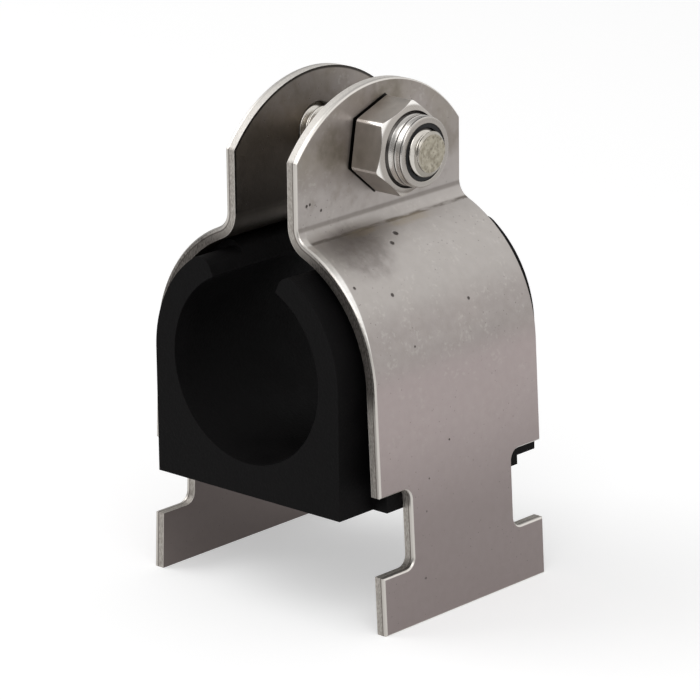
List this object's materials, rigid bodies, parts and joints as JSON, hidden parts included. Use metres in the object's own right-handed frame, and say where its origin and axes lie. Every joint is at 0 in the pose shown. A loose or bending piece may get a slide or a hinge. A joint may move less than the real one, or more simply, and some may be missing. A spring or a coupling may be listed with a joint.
{
  "type": "cushion clamp",
  "caption": "Tube clamp for slotted channel: two pressed steel straps with a bolt and lock nut squeeze a split elastomer cushion round the tube.",
  "frame": {"origin": "centre of the tube bore, halfway along the cushion", "axes": "+X across the tube towards the lock nut, +Y along the tube, +Z away from the channel towards the bolt"},
  "size_m": [0.0418, 0.0388, 0.0683],
  "materials": {
    "strap": "satin rolled stainless sheet",
    "cushion": "matte moulded elastomer",
    "bolt": "machined stainless",
    "lock_nut": "bright machined stainless",
    "lock_nut_insert": "moulded"
  },
  "bodies": {
    "root": {"strap_nut_side": "strap", "strap_head_side": "strap", "cushion": "cushion", "bolt": "bolt", "lock_nut": "lock_nut", "lock_nut_insert": "lock_nut_insert"}
  },
  "joints": []
}
